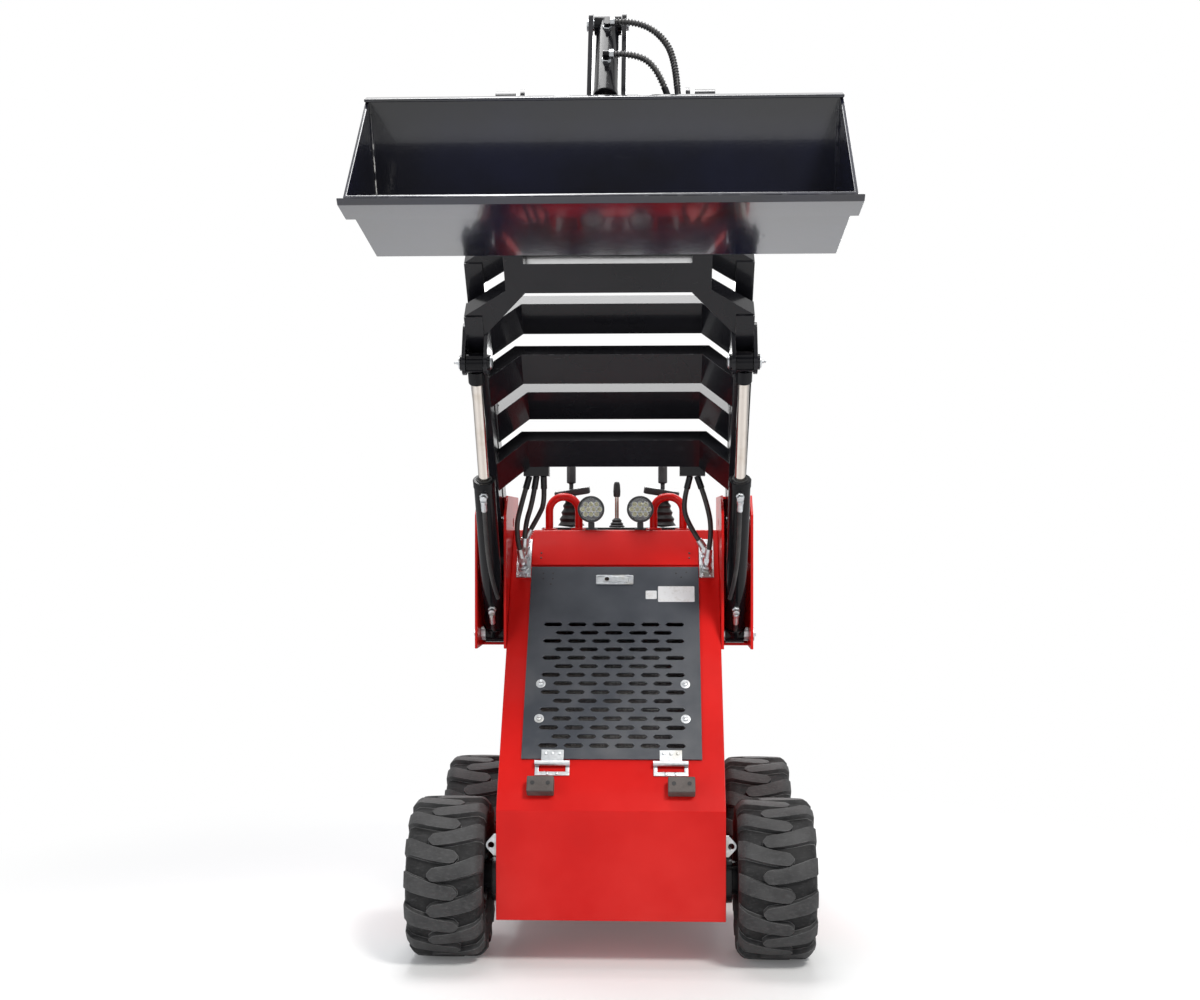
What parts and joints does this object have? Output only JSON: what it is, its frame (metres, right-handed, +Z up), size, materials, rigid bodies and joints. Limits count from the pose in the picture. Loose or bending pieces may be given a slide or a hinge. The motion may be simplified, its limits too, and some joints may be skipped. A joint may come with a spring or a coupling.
{
  "type": "wheeled stand-on mini loader with parallel lift arms and a bucket",
  "caption": "Compact wheeled stand-on loader with twin parallel lift arms raised, a wide bucket, slanted grille door, joystick console and rear step.",
  "frame": {"origin": "on the ground, in the middle of the width and the length as stored, arms raised", "axes": "+X to the right seen from the front, +Y to the rear, +Z up; the bucket points to -Y"},
  "size_m": [1.18, 2.476, 2.607],
  "materials": {
    "red_paint": "gloss",
    "black_paint": "gloss",
    "grille_grey": "satin",
    "zinc": "satin",
    "chrome_rod": "polished",
    "tyre": "matt",
    "rubber": "matt",
    "hose": "satin",
    "engine_iron": "matt",
    "radiator_fins": "satin",
    "black_plastic": "satin",
    "lens": "clear"
  },
  "bodies": {
    "root": {"axle_hubs": "black_paint", "bulkheads": "zinc", "centre_lever": "chrome_rod", "chassis_body": "red_paint", "console": "black_paint", "cowl_panel": "red_paint", "engine_block": "engine_iron", "hand_hoops": "red_paint", "hoses_left": "hose", "hoses_right": "hose", "joystick_boots": "rubber", "joystick_grips": "black_plastic", "lamp_lenses": "lens", "lamps": "black_plastic", "platform": "black_paint", "radiator": "radiator_fins", "rubber_stops": "rubber", "tie_downs": "zinc", "tower_left": "red_paint", "tower_pins": "zinc", "tower_right": "red_paint"},
    "grille_door": {"door_hinges": "zinc", "door_latch": "zinc", "grille_door": "grille_grey"},
    "lower_link": {"lower_link": "black_paint"},
    "upper_link": {"upper_link": "black_paint"},
    "mast": {"mast_frame": "black_paint", "mast_pins": "zinc", "tilt_hoses": "hose"},
    "bucket": {"bucket_shell": "black_paint", "cutting_edge": "black_paint", "quick_attach": "black_paint"},
    "tilt_barrel": {"tilt_barrel": "black_paint"},
    "tilt_rod": {"tilt_rod": "chrome_rod"},
    "lift_barrel_left": {"lift_barrel_left": "black_paint"},
    "lift_barrel_right": {"lift_barrel_right": "black_paint"},
    "lift_rod_left": {"lift_rod_left": "chrome_rod"},
    "lift_rod_right": {"lift_rod_right": "chrome_rod"},
    "wheel_front_left": {"rim_front_left": "black_paint", "tyre_front_left": "tyre"},
    "wheel_front_right": {"rim_front_right": "black_paint", "tyre_front_right": "tyre"},
    "wheel_rear_left": {"rim_rear_left": "black_paint", "tyre_rear_left": "tyre"},
    "wheel_rear_right": {"rim_rear_right": "black_paint", "tyre_rear_right": "tyre"}
  },
  "joints": [
    {"name": "lift", "type": "hinge", "parent": "root", "child": "lower_link", "pos_m": [0, 0.166, 1.1126], "axis": [-1, 0, 0], "range_deg": [-83.4, 0], "deforming": ["hoses_left", "hoses_right"]},
    {"name": "upper_link_hinge", "type": "hinge", "parent": "root", "child": "upper_link", "pos_m": [0, 0.166, 1.2576], "axis": [-1, 0, 0], "range_deg": [-84, 0.6]},
    {"name": "mast_hinge", "type": "hinge", "parent": "lower_link", "child": "mast", "pos_m": [0, -0.80377, 2.16353], "axis": [-1, 0, 0], "range_deg": [-0.6, 84]},
    {"name": "bucket_tilt", "type": "hinge", "parent": "mast", "child": "bucket", "pos_m": [0, -0.76019, 2.01986], "axis": [1, 0, 0], "range_deg": [-10, 50]},
    {"name": "tilt_barrel_hinge", "type": "hinge", "parent": "mast", "child": "tilt_barrel", "pos_m": [0, -0.6, 2.575], "axis": [1, 0, 0], "range_deg": [-2, 2], "deforming": ["tilt_hoses"]},
    {"name": "tilt_rod_slide", "type": "slide", "parent": "tilt_barrel", "child": "tilt_rod", "axis": [0, -0.6263, -0.7796], "range_m": [-0.0453, 0.2106]},
    {"name": "grille_door_hinge", "type": "hinge", "parent": "root", "child": "grille_door", "pos_m": [0, -0.28935, 0.56824], "axis": [1, 0, 0], "range_deg": [0, 90]},
    {"name": "lift_barrel_left_hinge", "type": "hinge", "parent": "root", "child": "lift_barrel_left", "pos_m": [-0.3685, 0.044, 0.916], "axis": [-1, 0, 0], "range_deg": [-92.37, 1]},
    {"name": "lift_rod_left_slide", "type": "slide", "parent": "lift_barrel_left", "child": "lift_rod_left", "axis": [0, -0.5504, 0.8349], "range_m": [-0.2923, 0.004]},
    {"name": "lift_barrel_right_hinge", "type": "hinge", "parent": "root", "child": "lift_barrel_right", "pos_m": [0.3685, 0.044, 0.916], "axis": [-1, 0, 0], "range_deg": [-92.37, 1]},
    {"name": "lift_rod_right_slide", "type": "slide", "parent": "lift_barrel_right", "child": "lift_rod_right", "axis": [0, -0.5504, 0.8349], "range_m": [-0.2923, 0.004]},
    {"name": "wheel_front_left_spin", "type": "hinge", "parent": "root", "child": "wheel_front_left", "pos_m": [-0.467, -0.22, 0.2285], "axis": [1, 0, 0], "continuous": true},
    {"name": "wheel_front_right_spin", "type": "hinge", "parent": "root", "child": "wheel_front_right", "pos_m": [0.467, -0.22, 0.2285], "axis": [1, 0, 0], "continuous": true},
    {"name": "wheel_rear_left_spin", "type": "hinge", "parent": "root", "child": "wheel_rear_left", "pos_m": [-0.467, 0.56, 0.2285], "axis": [1, 0, 0], "continuous": true},
    {"name": "wheel_rear_right_spin", "type": "hinge", "parent": "root", "child": "wheel_rear_right", "pos_m": [0.467, 0.56, 0.2285], "axis": [1, 0, 0], "continuous": true}
  ],
  "couplings": [
    {"joint": "upper_link_hinge", "follows": "lift", "ratio": 1},
    {"joint": "mast_hinge", "follows": "lift", "ratio": -1},
    {"joint": "tilt_barrel_hinge", "follows": "bucket_tilt", "ratio": 0.01},
    {"joint": "tilt_rod_slide", "follows": "bucket_tilt", "m_per_rad": 0.23677},
    {"joint": "lift_barrel_left_hinge", "follows": "lift", "ratio": 1.0956},
    {"joint": "lift_rod_left_slide", "follows": "lift", "m_per_rad": 0.19804},
    {"joint": "lift_barrel_right_hinge", "follows": "lift", "ratio": 1.0956},
    {"joint": "lift_rod_right_slide", "follows": "lift", "m_per_rad": 0.19804}
  ]
}
